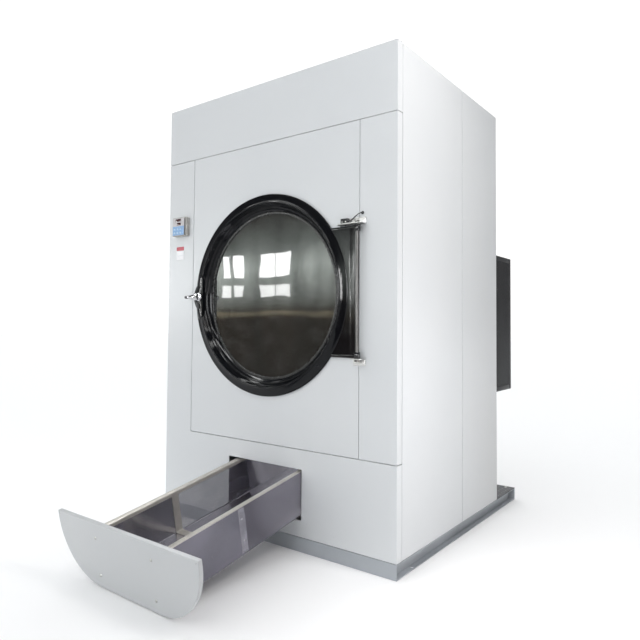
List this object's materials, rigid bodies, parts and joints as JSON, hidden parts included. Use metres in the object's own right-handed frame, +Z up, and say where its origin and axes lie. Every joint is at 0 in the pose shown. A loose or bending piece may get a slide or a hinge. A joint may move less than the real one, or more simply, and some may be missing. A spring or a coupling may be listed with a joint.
{
  "type": "tumble dryer",
  "caption": "Commercial tumble dryer with a round glass door on a side hinge, a lint drawer that runs out over a roller, and a belt drive behind a mesh guard.",
  "frame": {"origin": "centre of the four anchor holes of the base, on the floor", "axes": "+Z up, -Y towards the door side, +X to the right seen from the door side"},
  "size_m": [1.57, 2.4031, 2.4],
  "materials": {
    "cabinet_paint": "semi-gloss off-white powder coat",
    "base_steel": "satin grey paint",
    "deck_steel": "dark satin paint",
    "frame_steel": "grey primer",
    "galvanised": "galvanised sheet",
    "stainless": "brushed stainless steel",
    "chrome": "polished chrome",
    "door_black": "high gloss black",
    "glass": "clear toughened glass",
    "rubber": "matt black rubber",
    "black_plastic": "moulded black plastic",
    "control_grey": "light grey moulding",
    "keypad": "printed membrane",
    "key_cap": "moulded key caps",
    "label": "plain printed plate",
    "motor_paint": "hammered blue-green paint",
    "coil_steel": "heat-darkened steel",
    "cast": "cast iron",
    "guard_black": "black powder coat",
    "drawer_sheet": "dark grey sheet",
    "screw_zinc": "zinc plated"
  },
  "bodies": {
    "cabinet": {"base_frame": "base_steel", "rear_deck": "deck_steel", "main_frame": "frame_steel", "front_surround": "cabinet_paint", "door_panel": "cabinet_paint", "right_strip": "cabinet_paint", "header_panel": "cabinet_paint", "right_front_panel": "cabinet_paint", "right_rear_panel": "cabinet_paint", "left_front_panel": "cabinet_paint", "left_rear_panel": "cabinet_paint", "top_cover": "cabinet_paint", "rear_panel": "cabinet_paint", "seat_ring": "galvanised", "door_seal": "rubber", "hinge_brackets": "stainless", "hinge_rod": "stainless", "switch_body": "black_plastic", "switch_wire": "black_plastic", "control_box": "control_grey", "control_face": "keypad", "rating_label": "label", "bearing_housing": "cast", "inner_casing": "galvanised", "heater_coil": "coil_steel", "lint_screen": "galvanised", "fan_housing": "galvanised", "fan_motor": "motor_paint", "exhaust_spigot": "galvanised", "cable_gland": "black_plastic", "drawer_guides": "frame_steel", "drive_motor": "motor_paint", "drive_belt": "rubber", "guard_frame": "guard_black", "guard_mesh": "guard_black"},
    "drum": {"drum_shell": "stainless", "drum_back": "stainless", "drum_lifters": "stainless", "drum_shaft": "stainless", "drum_pulley": "cast"},
    "motor_shaft": {"motor_pulley": "cast"},
    "fan_wheel": {"fan_impeller": "motor_paint"},
    "door": {"door_ring": "door_black", "door_glass": "glass", "glass_gasket": "rubber", "hinge_plate": "door_black"},
    "handle": {"door_handle": "chrome"},
    "switch_pin": {"switch_plunger": "black_plastic"},
    "roller": {"drawer_roller": "stainless"},
    "drawer": {"drawer_tray": "drawer_sheet", "drawer_rails": "stainless", "drawer_brace": "stainless", "drawer_front": "cabinet_paint", "drawer_screws": "screw_zinc"},
    "key_1": {"key_1": "key_cap"},
    "key_2": {"key_2": "key_cap"},
    "key_3": {"key_3": "key_cap"},
    "key_4": {"key_4": "key_cap"},
    "key_5": {"key_5": "key_cap"},
    "key_6": {"key_6": "key_cap"}
  },
  "joints": [
    {"name": "drum_spin", "type": "hinge", "parent": "cabinet", "child": "drum", "pos_m": [0, 0.365, 1.268], "axis": [0, 1, 0], "continuous": true},
    {"name": "motor_spin", "type": "hinge", "parent": "cabinet", "child": "motor_shaft", "pos_m": [0.52, 0.6, 0.88], "axis": [0, 1, 0], "continuous": true},
    {"name": "fan_spin", "type": "hinge", "parent": "cabinet", "child": "fan_wheel", "pos_m": [-0.41, 0.18, 0.335], "axis": [1, 0, 0], "continuous": true},
    {"name": "door_hinge", "type": "hinge", "parent": "cabinet", "child": "door", "pos_m": [0.593, -0.8, 1.268], "axis": [0, 0, 1], "range_deg": [0, 165]},
    {"name": "handle_turn", "type": "hinge", "parent": "door", "child": "handle", "pos_m": [-0.49, -0.806, 1.268], "axis": [0, 1, 0], "range_deg": [0, 90]},
    {"name": "switch_press", "type": "slide", "parent": "cabinet", "child": "switch_pin", "axis": [0, 0, 1], "range_m": [0, 0.002], "stiffness_N_per_m": 300},
    {"name": "drawer_tilt", "type": "hinge", "parent": "cabinet", "child": "roller", "pos_m": [0.022, -0.736, 0.166], "axis": [-1, 0, 0], "range_deg": [0, 10]},
    {"name": "drawer_slide", "type": "slide", "parent": "roller", "child": "drawer", "axis": [0, -0.9848, -0.1736], "range_m": [-0.81, 0]},
    {"name": "key_1_press", "type": "slide", "parent": "cabinet", "child": "key_1", "axis": [0, 1, 0], "range_m": [0, 0.0012], "stiffness_N_per_m": 500},
    {"name": "key_2_press", "type": "slide", "parent": "cabinet", "child": "key_2", "axis": [0, 1, 0], "range_m": [0, 0.0012], "stiffness_N_per_m": 500},
    {"name": "key_3_press", "type": "slide", "parent": "cabinet", "child": "key_3", "axis": [0, 1, 0], "range_m": [0, 0.0012], "stiffness_N_per_m": 500},
    {"name": "key_4_press", "type": "slide", "parent": "cabinet", "child": "key_4", "axis": [0, 1, 0], "range_m": [0, 0.0012], "stiffness_N_per_m": 500},
    {"name": "key_5_press", "type": "slide", "parent": "cabinet", "child": "key_5", "axis": [0, 1, 0], "range_m": [0, 0.0012], "stiffness_N_per_m": 500},
    {"name": "key_6_press", "type": "slide", "parent": "cabinet", "child": "key_6", "axis": [0, 1, 0], "range_m": [0, 0.0012], "stiffness_N_per_m": 500}
  ],
  "couplings": [
    {"joint": "motor_spin", "follows": "drum_spin", "ratio": 4.2745},
    {"joint": "drawer_tilt", "follows": "drawer_slide", "rad_per_m": -0.21547}
  ]
}
